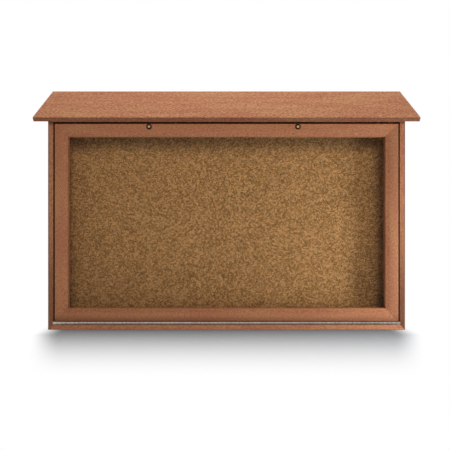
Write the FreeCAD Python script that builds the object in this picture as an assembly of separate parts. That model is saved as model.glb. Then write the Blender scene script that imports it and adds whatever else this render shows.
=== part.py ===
import FreeCAD, Part
import math
import os
from FreeCAD import Vector

# Lockable notice board for a wall: a sloped-roof case of solid boards with one door, hinged along its
# bottom edge and held shut at the top by two cam locks. Millimetres, +X right, +Y into the wall, +Z up.
# The wall is the plane y = 0 and the origin is the middle of the four wall-screw holes.

# Door
door_width = 1009.0
door_height = 580.5
door_thickness = 21.0
door_proud = 5.0                # door face ahead of the case's front edges
door_side_gap = 4.0
door_top_gap = 3.0

# Section of the door's rails and stiles, across from the outer edge and back from the face
member_width = 38.0
member_edge_round = 2.5
face_flat = 28.4
quirk_depth = 0.8               # fine step where the bevel starts
bevel_depth = 4.0
lip_depth = 12.0                # face to the seat of the pane
pane_rabbet = 10.0
retainer_rabbet = 18.5
biscuit_length = 28.0           # along the mitre
biscuit_width = 18.0            # across the mitre
biscuit_thickness = 3.0
biscuit_fit = 0.1

# Pane and its retainers
pane_thickness = 3.0
pane_edge_gap = 1.5
pane_fit = 0.2
retainer_thickness = 5.0
retainer_gap = 0.5
retainer_screw_pitch = 400.0
retainer_screw_inset = 45.0     # in from the corners of the opening

# Case
case_depth = 127.0
board_thickness = 17.0
outer_edge_round = 3.0
inner_edge_round = 2.0
head_rail_round = 1.5
head_rail_screw_line = 5.5      # behind the case's front edges
corner_screw_line = 34.0        # behind the case's front edges
stop_strip_width = 12.0
stop_strip_depth = 17.0
gasket_thickness = 2.7
gasket_width = 10.0
gasket_gap = 0.3

# Roof
roof_thickness = 12.7
roof_pitch = 38.0               # degrees
roof_end_overhang = 33.5
roof_front_overhang = 28.0
eaves_gap = 1.9                 # roof's lower front edge above the top of the door
roof_edge_round = 3.0
cleat_size = 18.0
cleat_setback = 13.0
cleat_end_gap = 2.0
cleat_screw_inset = 12.0

# Back
back_panel_thickness = 9.0
groove_depth = 6.0
groove_fit = 0.1
panel_edge_gap = 0.3            # to the bottoms of the grooves
panel_screw_inset = 170.0       # in from the inside of the case's sides
backing_thickness = 6.0
cork_thickness = 6.0
tackboard_edge_gap = 1.0
tackboard_screw_gap = 4.0       # from the wall-screw holes to the tackboard's edges
batten_thickness = 17.0
batten_height = 40.0
batten_end_gap = 0.5
roof_batten_height = 40.0       # at its lower, front side

# Wall screws
wall_hole_diameter = 8.0
wall_screw_inset = 58.5         # in from the inside of the case's sides
wall_screw_drop = 9.4           # upper pair, below the top of the door

# Continuous hinge
knuckle_pitch = 12.7
knuckle_gap = 0.3
hinge_pin_diameter = 4.8
hinge_pin_fit = 0.05
leaf_thickness = 2.0
leaf_reach = 18.0               # pin axis to the leaf's back edge
leaf_notch_gap = 0.4
roll_end_angle = -28.0          # where the rolled knuckle meets its own leaf again, degrees
outer_roll_flats = 6            # flats that stand for the roll of a knuckle
inner_roll_flats = 4
hinge_screw_knuckles = 11       # knuckles from one screw to the next

# Cam locks
lock_centres = {"left": -227.0, "right": 209.0}
lock_drop = 9.9                 # lock centre below the top of the door
flange_diameter = 16.6
flange_thickness = 2.0
barrel_diameter = 12.7
barrel_fit = 0.1
plug_diameter = 10.6
plug_fit = 0.05
plug_recess = 0.4
keyway_width = 1.4
keyway_height = 6.0
keyway_depth = 3.0
nut_flats = 17.0
nut_thickness = 3.0
cam_square = 6.0
cam_width = 12.0
cam_length = 26.0
cam_corner = 3.5                # cut off each corner at 45 degrees
cam_thickness = 2.0
cam_gap = 0.3
cam_fit = 0.05
cam_screw_head = 7.0            # across its flats
cam_screw_head_height = 2.4
cam_screw_shank = 4.0
cam_screw_length = 8.0
strike_width = 44.0
strike_height = 22.0
strike_thickness = 2.0
strike_lift = 1.5               # above the underside of the head rail
strike_screw_spread = 30.0

# Countersunk screws, drawn six-sided and without their points: head, shank and length
board_screw = (8.0, 4.2, 30.0)
corner_screw = (8.0, 4.2, 40.0)
panel_screw = (8.0, 4.2, 20.0)
strip_screw = (7.0, 3.6, 22.0)
leaf_screw = (7.4, 4.0, 15.0)
small_screw = (6.4, 3.2, 12.0)
strike_screw = (6.4, 3.2, 10.0)
screw_fit = 0.05
screw_sides = 6
screw_end_inset = 60.0

overrun = 1.0                   # how far a cutting shape runs past what it cuts

# Worked out from the sizes above
barrel_radius = hinge_pin_diameter / 2 + hinge_pin_fit + leaf_thickness
bore_radius = hinge_pin_diameter / 2 + hinge_pin_fit
inner_width = door_width + 2 * door_side_gap
inner_half = inner_width / 2
case_half = inner_half + board_thickness
door_half = door_width / 2
case_front = -case_depth
door_face = case_front - door_proud
door_back = door_face + door_thickness
lower_screw_height = board_thickness + batten_height / 2
upper_screw_height = board_thickness + 2 * barrel_radius + door_height - wall_screw_drop
case_bottom = -(lower_screw_height + upper_screw_height) / 2
floor_top = case_bottom + board_thickness
door_bottom = floor_top + 2 * barrel_radius
door_top = door_bottom + door_height
door_middle = (door_bottom + door_top) / 2
rail_bottom = door_top + door_top_gap
rail_back = case_front + board_thickness
hinge_y = case_front - barrel_radius
hinge_z = floor_top + barrel_radius
lower_screw_z = case_bottom + lower_screw_height
upper_screw_z = case_bottom + upper_screw_height
wall_screw_x = inner_half - wall_screw_inset
batten_front = -batten_thickness
panel_front = batten_front - back_panel_thickness
backing_front = panel_front - backing_thickness
cork_face = backing_front - cork_thickness
tackboard_margin = wall_hole_diameter / 2 + tackboard_screw_gap
pitch_sin = math.sin(math.radians(roof_pitch))
pitch_cos = math.cos(math.radians(roof_pitch))
pitch_tan = pitch_sin / pitch_cos
eaves_y = case_front - roof_front_overhang + roof_thickness * pitch_sin
eaves_z = door_top + eaves_gap
pane_seat = door_face + lip_depth
retainer_front = pane_seat + pane_thickness + pane_fit
opening_half_width = door_half - member_width
opening_half_height = door_height / 2 - member_width
knuckle_count = 2 * int(inner_width / knuckle_pitch / 2)
hinge_half = knuckle_count * knuckle_pitch / 2
stop_front = door_back + gasket_thickness + gasket_gap
lock_z = door_top - lock_drop
nut_back = door_back + nut_thickness
cam_front = max(nut_back, rail_back + strike_thickness) + cam_gap

ORIGIN = Vector(0, 0, 0)
X = Vector(1, 0, 0)
Y = Vector(0, 1, 0)
Z = Vector(0, 0, 1)


def under_roof(y):
    """Height of the roof board's underside at depth y."""
    return eaves_z + (y - eaves_y) * pitch_tan


def outline(corners):
    """Flat face through (x, y) or (x, y, radius) corners; a radius rounds its corner."""
    pieces = []
    for i, corner in enumerate(corners):
        here = Vector(corner[0], corner[1], 0)
        if len(corner) == 2:
            pieces.append((here, None, here))
            continue
        after = corners[(i + 1) % len(corners)]
        to_before = (Vector(corners[i - 1][0], corners[i - 1][1], 0) - here).normalize()
        to_after = (Vector(after[0], after[1], 0) - here).normalize()
        half_angle = to_before.getAngle(to_after) / 2
        inward = (to_before + to_after).normalize()
        reach = corner[2] / math.tan(half_angle)
        middle = here + inward * (corner[2] / math.sin(half_angle) - corner[2])
        pieces.append((here + to_before * reach, middle, here + to_after * reach))
    edges = []
    for i, (start, middle, end) in enumerate(pieces):
        if middle is not None:
            edges.append(Part.Arc(start, middle, end).toShape())
        following = pieces[(i + 1) % len(pieces)][0]
        if (following - end).Length > 1e-6:
            edges.append(Part.makeLine(end, following))
    return Part.Face(Part.Wire(edges))


def along_x(face, start, end):
    """Extrude a section drawn in (y, z) from x = start to x = end."""
    section = face.copy()
    section.rotate(ORIGIN, Vector(1, 1, 1), 120)
    section.translate(Vector(start, 0, 0))
    return section.extrude(Vector(end - start, 0, 0))


def along_y(face, start, end):
    """Extrude a shape drawn in (x, z) from y = start to y = end."""
    section = face.copy()
    section.rotate(ORIGIN, X, 90)
    section.translate(Vector(0, start, 0))
    return section.extrude(Vector(0, end - start, 0))


def along_z(face, start, end):
    """Extrude a plan drawn in (x, y) from z = start to z = end."""
    section = face.copy()
    section.translate(Vector(0, 0, start))
    return section.extrude(Vector(0, 0, end - start))


def box(x, y, z):
    """Box from three (low, high) pairs."""
    return Part.makeBox(x[1] - x[0], y[1] - y[0], z[1] - z[0], Vector(x[0], y[0], z[0]))


def rod(diameter, start, direction, length):
    """Round bar or hole."""
    return Part.makeCylinder(diameter / 2, length, start, direction)


def turned(profile):
    """Solid turned about Z from (radius, height) corners."""
    face = outline(profile)
    face.rotate(ORIGIN, X, 90)
    return face.revolve(ORIGIN, Z, 360)


def polar(radius, degrees):
    """Point at a radius and an angle from the X axis."""
    angle = math.radians(degrees)
    return Vector(radius * math.cos(angle), radius * math.sin(angle), 0)


def placed(shape, point, direction):
    """Copy of a shape with its origin at the point and its Z axis along the direction."""
    copy = shape.copy()
    copy.Placement = FreeCAD.Placement(point, FreeCAD.Rotation(Z, direction))
    return copy


def flat_face(corners):
    return Part.Face(Part.makePolygon(corners + corners[:1]))


def countersunk(screw, fit=0.0):
    """Countersunk screw below z = 0; with a fit, the hole that takes it."""
    head, shank, length = screw
    head_radius = head / 2 + fit
    shank_radius = shank / 2 + fit
    levels = [(head_radius, 0), (shank_radius, shank_radius - head_radius), (shank_radius, -length - fit)]
    rings = [[polar(radius, 360 * i / screw_sides) + Z * height for i in range(screw_sides)]
             for radius, height in levels]
    faces = [flat_face(rings[0]), flat_face(rings[-1])]
    for upper, lower in zip(rings, rings[1:]):
        for i in range(screw_sides):
            faces.append(flat_face([upper[i - 1], upper[i], lower[i], lower[i - 1]]))
    return Part.Solid(Part.Shell(faces))


def hexagon(flats, point, length):
    """Six-sided bar or hole along Y from its point."""
    corners = [polar(flats / math.sqrt(3), 60 * i) for i in range(6)]
    face = outline([(point.x + corner.x, point.z + corner.y) for corner in corners])
    return along_y(face, point.y, point.y + length)


def screws(kind, places):
    """One countersunk screw at each (point, outward direction)."""
    screw = countersunk(kind)
    return Part.makeCompound([placed(screw, point, outward) for point, outward in places])


def drilled(shape, kind, places):
    """The shape with the holes of a set of screws."""
    hole = countersunk(kind, screw_fit)
    return shape.cut([placed(hole, point, outward) for point, outward in places])


def spread(low, high, count):
    """Evenly spaced places from low to high."""
    return [low + (high - low) * i / (count - 1) for i in range(count)]


def trimmed_to_roof(shape):
    """The part of a shape that lies under the roof board."""
    reach = 2 * case_half
    low = case_bottom - board_thickness
    under = outline([(case_front - reach, low), (reach, low),
                     (reach, under_roof(reach)), (case_front - reach, under_roof(case_front - reach))])
    return shape.common(along_x(under, -reach, reach))


# Where the screws of the case go

def corner_screw_places():
    """From below, up through the mitres of the bottom board into the sides."""
    across = spread(case_front + corner_screw_line, panel_front - board_thickness, 2)
    x = inner_half + board_thickness / 2
    return [(Vector(side * x, y, case_bottom), -Z) for side in (-1, 1) for y in across]


def head_rail_screw_places():
    """Up through the head rail into the roof, ahead of the strike screws."""
    y = case_front + head_rail_screw_line
    return [(Vector(x, y, rail_bottom), -Z)
            for x in spread(screw_end_inset - inner_half, inner_half - screw_end_inset, 4)]


def stop_strip_screw_places():
    """Sideways through the stop strips into the sides."""
    y = stop_front + stop_strip_depth / 2
    heights = spread(floor_top + screw_end_inset, rail_bottom - screw_end_inset, 2)
    x = inner_half - stop_strip_width
    return [(Vector(side * x, y, z), Vector(-side, 0, 0)) for side in (-1, 1) for z in heights]


def back_panel_screw_places():
    """Through the back panel into the three battens behind it."""
    rows = [lower_screw_z, upper_screw_z, roof_batten_bottom() + roof_batten_height / 2]
    columns = spread(panel_screw_inset - inner_half, inner_half - panel_screw_inset, 2)
    return [(Vector(x, panel_front, z), -Y) for x in columns for z in rows]


def roof_batten_bottom():
    return under_roof(batten_front) - roof_batten_height


def wall_holes(y_low, y_high):
    """The four wall-screw holes between two depths."""
    return [rod(wall_hole_diameter, Vector(x, y_low, z), Y, y_high - y_low)
            for x in (-wall_screw_x, wall_screw_x) for z in (lower_screw_z, upper_screw_z)]


# Case

def case_bottom_board():
    """Bottom board: rounded front edges, mitred ends, a groove for the back panel, hinge screw holes."""
    section = outline([(case_front, case_bottom, outer_edge_round), (0, case_bottom),
                       (0, floor_top), (case_front, floor_top, inner_edge_round)])
    board = along_x(section, -case_half, case_half)
    mitred = outline([(-case_half, case_bottom), (case_half, case_bottom),
                      (inner_half, floor_top), (-inner_half, floor_top)])
    board = board.common(along_y(mitred, case_front, 0))
    groove = box((-inner_half - groove_depth, inner_half + groove_depth),
                 (panel_front - groove_fit, batten_front + groove_fit),
                 (floor_top - groove_depth, floor_top))
    board = board.cut(groove)
    board = drilled(board, corner_screw, corner_screw_places())
    return drilled(board, leaf_screw, case_leaf_screw_places())


def case_side(side):
    """Side board: top cut to the roof's slope, mitred foot, a groove for the back panel."""
    inner = side * inner_half
    outer = side * case_half
    plan = outline([(outer, case_front, outer_edge_round), (outer, 0),
                    (inner, 0), (inner, case_front, inner_edge_round)])
    board = trimmed_to_roof(along_z(plan, case_bottom, under_roof(0)))
    mitred = outline([(outer, case_bottom), (outer, under_roof(0)),
                      (inner, under_roof(0)), (inner, floor_top)])
    board = board.common(along_y(mitred, case_front, 0))
    groove_wall = side * (inner_half + groove_depth)
    groove = box(sorted((inner, groove_wall)), (panel_front - groove_fit, batten_front + groove_fit),
                 (floor_top - groove_depth, under_roof(0)))
    board = board.cut(groove)
    board = drilled(board, corner_screw, corner_screw_places())
    board = drilled(board, strip_screw, stop_strip_screw_places())
    return drilled(board, board_screw, cleat_screw_places(side))


def head_rail():
    """Rail above the door, its top bevelled to the roof."""
    section = outline([(case_front, rail_bottom, head_rail_round), (rail_back, rail_bottom),
                       (rail_back, under_roof(rail_back)), (case_front, under_roof(case_front))])
    rail = along_x(section, -inner_half, inner_half)
    rail = drilled(rail, board_screw, head_rail_screw_places())
    return drilled(rail, strike_screw, strike_screw_places())


def roof_board():
    """Sloped board, its rounded front edge square to the slope and its back edge plumb on the wall."""
    front_top = (eaves_y - roof_thickness * pitch_sin, eaves_z + roof_thickness * pitch_cos)
    back_top = (0, under_roof(0) + roof_thickness / pitch_cos)
    section = outline([(eaves_y, eaves_z, roof_edge_round), (0, under_roof(0)), back_top,
                       front_top + (roof_edge_round,)])
    reach = case_half + roof_end_overhang
    board = along_x(section, -reach, reach)
    board = drilled(board, board_screw, head_rail_screw_places())
    return drilled(board, board_screw, roof_screw_places(-1) + roof_screw_places(1))


def cleat_frame(side, along, across):
    """Point on a roof cleat: along the slope from its front end, and below the roof board."""
    start = rail_back + cleat_setback
    y = start + along * pitch_cos + across * pitch_sin
    z = under_roof(start) + along * pitch_sin - across * pitch_cos
    return Vector(side * inner_half, y, z)


def cleat_length():
    """From behind the head rail to just ahead of the back panel, along the slope."""
    end = panel_front - cleat_end_gap - cleat_size * pitch_sin
    return (end - rail_back - cleat_setback) / pitch_cos


def cleat_screw_places(side):
    """Sideways through a cleat into the side board."""
    return [(cleat_frame(side, along, cleat_size / 2) - X * (side * cleat_size), Vector(-side, 0, 0))
            for along in (cleat_screw_inset, cleat_length() - cleat_screw_inset)]


def roof_screw_places(side):
    """Square to the slope, up through a cleat into the roof."""
    down = Vector(0, pitch_sin, -pitch_cos)
    shift = X * (side * cleat_size / 2)
    return [(cleat_frame(side, cleat_length() / 2 + step, cleat_size) - shift, down)
            for step in (-cleat_size / 2, cleat_size / 2)]


def roof_cleat(side):
    """Square strip that ties a side board to the roof."""
    corners = [cleat_frame(side, 0, 0), cleat_frame(side, cleat_length(), 0),
               cleat_frame(side, cleat_length(), cleat_size), cleat_frame(side, 0, cleat_size)]
    section = outline([(corner.y, corner.z) for corner in corners])
    cleat = along_x(section, side * inner_half, side * (inner_half - cleat_size))
    cleat = drilled(cleat, board_screw, cleat_screw_places(side))
    return drilled(cleat, board_screw, roof_screw_places(side))


def roof_batten():
    """Strip behind the back panel, bevelled to carry the back edge of the roof."""
    low = roof_batten_bottom()
    section = outline([(batten_front, low), (0, low), (0, under_roof(0)),
                       (batten_front, under_roof(batten_front))])
    batten = along_x(section, batten_end_gap - inner_half, inner_half - batten_end_gap)
    return drilled(batten, panel_screw, back_panel_screw_places())


def rear_batten(z):
    """Strip that lies on the wall and takes two of the wall screws."""
    batten = box((batten_end_gap - inner_half, inner_half - batten_end_gap), (batten_front, 0),
                 (z - batten_height / 2, z + batten_height / 2))
    batten = batten.cut(wall_holes(batten_front, 0))
    return drilled(batten, panel_screw, back_panel_screw_places())


def back_panel():
    """Sheet held in the grooves of the sides and the bottom board."""
    reach = inner_half + groove_depth - panel_edge_gap
    low = floor_top - groove_depth + panel_edge_gap
    panel = box((-reach, reach), (panel_front, batten_front), (low, under_roof(0)))
    panel = trimmed_to_roof(panel).cut(wall_holes(panel_front, batten_front))
    return drilled(panel, panel_screw, back_panel_screw_places())


def tackboard_layer(front, back):
    """One layer of the tackboard, glued on the layer behind it, between the two rows of wall screws."""
    reach = inner_half - tackboard_edge_gap
    return box((-reach, reach), (front, back),
               (lower_screw_z + tackboard_margin, upper_screw_z - tackboard_margin))


def stop_strip(side):
    """Strip on a side board that the closed door rests against."""
    inner = side * (inner_half - stop_strip_width)
    strip = box(sorted((inner, side * inner_half)), (stop_front, stop_front + stop_strip_depth),
                (floor_top, rail_bottom))
    return drilled(strip, strip_screw, stop_strip_screw_places())


def stop_gasket(side):
    """Foam tape on the front of a stop strip."""
    edge = (stop_strip_width - gasket_width) / 2
    ends = sorted((side * (inner_half - edge), side * (inner_half - stop_strip_width + edge)))
    return box(ends, (stop_front - gasket_thickness, stop_front), (floor_top + edge, rail_bottom - edge))


def strike_screw_places():
    """Two screws through each strike plate into the back of the head rail."""
    z = rail_bottom + strike_lift + strike_height / 2
    y = rail_back + strike_thickness
    return [(Vector(x + step, y, z), Y) for x in lock_centres.values()
            for step in (-strike_screw_spread / 2, strike_screw_spread / 2)]


def strike_plate(x):
    """Wear plate behind the head rail, which a lock's cam bears on."""
    low = rail_bottom + strike_lift
    plate = box((x - strike_width / 2, x + strike_width / 2), (rail_back, rail_back + strike_thickness),
                (low, low + strike_height))
    return drilled(plate, strike_screw, strike_screw_places())


# Continuous hinge: two leaves rolled into alternating knuckles round one pin

def leaf_screw_spots():
    """Evenly along the hinge, centred."""
    count = int(knuckle_count / hinge_screw_knuckles)
    end = hinge_screw_knuckles * knuckle_pitch * (count - 1) / 2
    return spread(-end, end, count)


def leaf_screw_y():
    """Middle of the flat part of the leaves."""
    return hinge_y + (barrel_radius + leaf_notch_gap + leaf_reach) / 2


def case_leaf_screw_places():
    z = floor_top + leaf_thickness
    return [(Vector(x, leaf_screw_y(), z), Z) for x in leaf_screw_spots()]


def door_leaf_screw_places():
    z = door_bottom - leaf_thickness
    return [(Vector(x, leaf_screw_y(), z), -Z) for x in leaf_screw_spots()]


def knuckle_section():
    """Leaf strip curled round the pin: flat below the axis, up over the front and down behind.

    The roll is drawn in short flats. Those outside lie within the barrel and those inside clear the pin."""
    root = barrel_radius + leaf_notch_gap + leaf_thickness
    turn = 270 - roll_end_angle
    outside = [polar(barrel_radius, 270 - turn * i / outer_roll_flats) for i in range(outer_roll_flats + 1)]
    clear_radius = bore_radius / math.cos(math.radians(turn / inner_roll_flats / 2))
    inside = [polar(clear_radius, roll_end_angle + turn * (i + 0.5) / inner_roll_flats)
              for i in range(inner_roll_flats)]
    start = polar(bore_radius, roll_end_angle)
    corners = outside + [start] + inside + [Vector(root, -bore_radius, 0), Vector(root, -barrel_radius, 0)]
    return flat_face(corners)


def hinge_leaf(first_knuckle):
    """Leaf with its back strip and every second knuckle, lying below the axis."""
    strip = box((-hinge_half, hinge_half), (barrel_radius + leaf_notch_gap, leaf_reach),
                (-barrel_radius, leaf_thickness - barrel_radius))
    section = knuckle_section()
    knuckles = []
    for i in range(first_knuckle, knuckle_count, 2):
        start = i * knuckle_pitch - hinge_half
        knuckles.append(along_x(section, start + knuckle_gap / 2, start + knuckle_pitch - knuckle_gap / 2))
    return strip.fuse(knuckles).removeSplitter()


def hinge_leaf_case():
    leaf = hinge_leaf(0)
    leaf.translate(Vector(0, hinge_y, hinge_z))
    return drilled(leaf, leaf_screw, case_leaf_screw_places())


def hinge_leaf_door():
    leaf = hinge_leaf(1).mirror(ORIGIN, Z)
    leaf.translate(Vector(0, hinge_y, hinge_z))
    return drilled(leaf, leaf_screw, door_leaf_screw_places())


def hinge_pin():
    start = Vector(knuckle_gap - hinge_half, hinge_y, hinge_z)
    return rod(hinge_pin_diameter, start, X, 2 * (hinge_half - knuckle_gap))


# Door

def door_member(length):
    """Rail or stile along Z, outer edge at x = 0 and face at y = 0, mitred at both ends."""
    inner_seat = member_width - pane_rabbet
    retainer_edge = member_width - retainer_rabbet
    pane_back = lip_depth + pane_thickness + pane_fit
    section = outline([(0, 0, member_edge_round), (face_flat, 0), (face_flat, quirk_depth),
                       (member_width, bevel_depth), (member_width, lip_depth), (inner_seat, lip_depth),
                       (inner_seat, pane_back), (retainer_edge, pane_back),
                       (retainer_edge, door_thickness), (0, door_thickness)])
    member = along_z(section, -length / 2, length / 2)
    outer = length / 2 + overrun
    inner = length / 2 - member_width - overrun
    mitred = outline([(-overrun, -outer), (-overrun, outer),
                      (member_width + overrun, inner), (member_width + overrun, -inner)])
    return member.common(along_y(mitred, -overrun, door_thickness + overrun))


def set_in_door(member, turn, x, z):
    """Turn a member about Y and set its outer edge at (x, z)."""
    member.rotate(ORIGIN, Y, turn)
    member.translate(Vector(x, door_face, z))
    return member


def biscuits(fit=0.0):
    """Flat keys across the four mitres, midway between the face and the pane's seat."""
    middle = door_face + (bevel_depth + lip_depth - biscuit_thickness) / 2
    centre = member_width / 2
    plates = []
    for side in (-1, 1):
        for end in (-1, 1):
            plate = box((-biscuit_length / 2 - fit, biscuit_length / 2 + fit), (-fit, biscuit_thickness + fit),
                        (-biscuit_width / 2 - fit, biscuit_width / 2 + fit))
            plate.rotate(ORIGIN, Y, -45 * side * end)
            plate.translate(Vector(side * (door_half - centre), middle,
                                   door_middle + end * (door_height / 2 - centre)))
            plates.append(plate)
    return plates


def retainer_screw_places():
    """Through the retainers into the rails and stiles, clear of the pane's edge."""
    line = member_width - (retainer_rabbet + pane_rabbet) / 2
    y = retainer_front + retainer_thickness
    reach_x = opening_half_width - retainer_screw_inset
    reach_z = opening_half_height - retainer_screw_inset
    across = spread(-reach_x, reach_x, int(door_width / retainer_screw_pitch) + 1)
    up = spread(door_middle - reach_z, door_middle + reach_z, int(door_height / retainer_screw_pitch) + 1)
    places = []
    for side in (-1, 1):
        places += [(Vector(x, y, door_middle + side * (door_height / 2 - line)), Y) for x in across]
        places += [(Vector(side * (door_half - line), y, z), Y) for z in up]
    return places


def door_stile(side):
    """Left or right side of the door frame."""
    stile = set_in_door(door_member(door_height), 0 if side < 0 else 180, side * door_half, door_middle)
    return drilled(stile.cut(biscuits(biscuit_fit)), small_screw, retainer_screw_places())


def door_rail_bottom():
    """Bottom of the door frame, screwed to the hinge."""
    rail = set_in_door(door_member(door_width), -90, 0, door_bottom)
    rail = drilled(rail.cut(biscuits(biscuit_fit)), small_screw, retainer_screw_places())
    return drilled(rail, leaf_screw, door_leaf_screw_places())


def door_rail_top():
    """Top of the door frame, bored for the two locks."""
    rail = set_in_door(door_member(door_width), 90, 0, door_top)
    rail = drilled(rail.cut(biscuits(biscuit_fit)), small_screw, retainer_screw_places())
    bores = [rod(barrel_diameter + 2 * barrel_fit, Vector(x, door_face, lock_z), Y, door_thickness)
             for x in lock_centres.values()]
    return rail.cut(bores)


def window_pane():
    reach_x = opening_half_width + pane_rabbet - pane_edge_gap
    reach_z = opening_half_height + pane_rabbet - pane_edge_gap
    return box((-reach_x, reach_x), (pane_seat, pane_seat + pane_thickness),
               (door_middle - reach_z, door_middle + reach_z))


def pane_retainer(across, side):
    """Strip that holds one edge of the pane from behind; those across run past those upright."""
    outer_x = opening_half_width + retainer_rabbet - retainer_gap
    outer_z = opening_half_height + retainer_rabbet - retainer_gap
    width = retainer_rabbet - retainer_gap
    if across:
        x = (-outer_x, outer_x)
        z = sorted((door_middle + side * outer_z, door_middle + side * (outer_z - width)))
    else:
        x = sorted((side * outer_x, side * (outer_x - width)))
        half = outer_z - width - retainer_gap
        z = (door_middle - half, door_middle + half)
    strip = box(x, (retainer_front, retainer_front + retainer_thickness), z)
    return drilled(strip, small_screw, retainer_screw_places())


# Cam locks: the body and nut stay in the door, the plug turns the cam behind the strike plate

def lock_bodies():
    """Two round bodies, each with a flange and bored for its plug."""
    length = flange_thickness + door_thickness + nut_thickness
    bore = plug_diameter / 2 + plug_fit
    rim = flange_diameter / 2
    barrel = barrel_diameter / 2
    body = turned([(bore, 0), (rim, 0), (rim, flange_thickness), (barrel, flange_thickness),
                   (barrel, length), (bore, length)])
    return Part.makeCompound([placed(body, Vector(x, door_face - flange_thickness, lock_z), Y)
                              for x in lock_centres.values()])


def lock_nuts():
    """Hexagon nut of each lock, behind the door."""
    nuts = []
    for x in lock_centres.values():
        seat = Vector(x, door_back, lock_z)
        nuts.append(hexagon(nut_flats, seat, nut_thickness).cut(rod(barrel_diameter, seat, Y, nut_thickness)))
    return Part.makeCompound(nuts)


def lock_plug(x):
    """Turning plug with a keyway in front and a square that drives the cam."""
    front = door_face - flange_thickness + plug_recess
    plug = rod(plug_diameter, Vector(x, front, lock_z), Y, cam_front - front)
    half = cam_square / 2
    square_end = cam_front + cam_thickness - cam_fit
    plug = plug.fuse(box((x - half, x + half), (cam_front, square_end), (lock_z - half, lock_z + half)))
    keyway = box((x - keyway_width / 2, x + keyway_width / 2), (front, front + keyway_depth),
                 (lock_z - keyway_height / 2, lock_z + keyway_height / 2))
    tapped = hexagon(cam_screw_shank + 2 * cam_fit, Vector(x, square_end - cam_screw_length, lock_z),
                     cam_screw_length)
    return plug.cut([keyway, tapped])


def lock_cam(x):
    """Flat cam that lies level when unlocked and stands up behind the strike plate when locked."""
    reach = cam_width / 2
    low = lock_z - reach
    high = lock_z + reach
    heel = x + reach
    tip = x - cam_length
    face = outline([(heel, low + cam_corner), (heel, high - cam_corner), (heel - cam_corner, high),
                    (tip + cam_corner, high), (tip, high - cam_corner), (tip, low + cam_corner),
                    (tip + cam_corner, low), (heel - cam_corner, low)])
    half = cam_square / 2 + cam_fit
    square = box((x - half, x + half), (cam_front, cam_front + cam_thickness), (lock_z - half, lock_z + half))
    return along_y(face, cam_front, cam_front + cam_thickness).cut(square)


def lock_cam_screw(x):
    """Hexagon-head screw that clamps the cam on the plug's square."""
    length = cam_screw_length - 2 * cam_fit
    seat = Vector(x, cam_front + cam_thickness, lock_z)
    head = hexagon(cam_screw_head, seat, cam_screw_head_height)
    return head.fuse(hexagon(cam_screw_shank, seat - Y * length, length))


def build():
    """Every sub-part by its name."""
    pieces = {
        "case_bottom": case_bottom_board(),
        "case_corner_screws": screws(corner_screw, corner_screw_places()),
        "head_rail": head_rail(),
        "head_rail_screws": screws(board_screw, head_rail_screw_places()),
        "roof_board": roof_board(),
        "roof_screws": screws(board_screw, roof_screw_places(-1) + roof_screw_places(1)),
        "cleat_screws": screws(board_screw, cleat_screw_places(-1) + cleat_screw_places(1)),
        "roof_batten": roof_batten(),
        "back_panel": back_panel(),
        "back_panel_screws": screws(panel_screw, back_panel_screw_places()),
        "rear_batten_lower": rear_batten(lower_screw_z),
        "rear_batten_upper": rear_batten(upper_screw_z),
        "tackboard_backing": tackboard_layer(backing_front, panel_front),
        "cork_sheet": tackboard_layer(cork_face, backing_front),
        "stop_strip_screws": screws(strip_screw, stop_strip_screw_places()),
        "strike_screws": screws(strike_screw, strike_screw_places()),
        "hinge_leaf_case": hinge_leaf_case(),
        "hinge_leaf_door": hinge_leaf_door(),
        "hinge_pin": hinge_pin(),
        "hinge_case_screws": screws(leaf_screw, case_leaf_screw_places()),
        "hinge_door_screws": screws(leaf_screw, door_leaf_screw_places()),
        "door_rail_top": door_rail_top(),
        "door_rail_bottom": door_rail_bottom(),
        "door_corner_biscuits": Part.makeCompound(biscuits()),
        "window_pane": window_pane(),
        "pane_retainer_top": pane_retainer(True, 1),
        "pane_retainer_bottom": pane_retainer(True, -1),
        "retainer_screws": screws(small_screw, retainer_screw_places()),
        "lock_bodies": lock_bodies(),
        "lock_nuts": lock_nuts(),
    }
    for name, side in (("left", -1), ("right", 1)):
        pieces["case_side_" + name] = case_side(side)
        pieces["roof_cleat_" + name] = roof_cleat(side)
        pieces["stop_strip_" + name] = stop_strip(side)
        pieces["stop_gasket_" + name] = stop_gasket(side)
        pieces["door_stile_" + name] = door_stile(side)
        pieces["pane_retainer_" + name] = pane_retainer(False, side)
    for name, x in lock_centres.items():
        pieces["strike_plate_" + name] = strike_plate(x)
        pieces["lock_plug_" + name] = lock_plug(x)
        pieces["lock_cam_" + name] = lock_cam(x)
        pieces["lock_cam_screw_" + name] = lock_cam_screw(x)
    return pieces


os.makedirs("parts", exist_ok=True)
for node, shape in build().items():
    shape.exportStep("parts/" + node + ".step")
    print(node, len(shape.Solids), "solids", round(shape.Volume), "mm3", shape.isValid())
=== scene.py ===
import math

import bmesh
import bpy
from mathutils import Matrix, Vector


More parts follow.
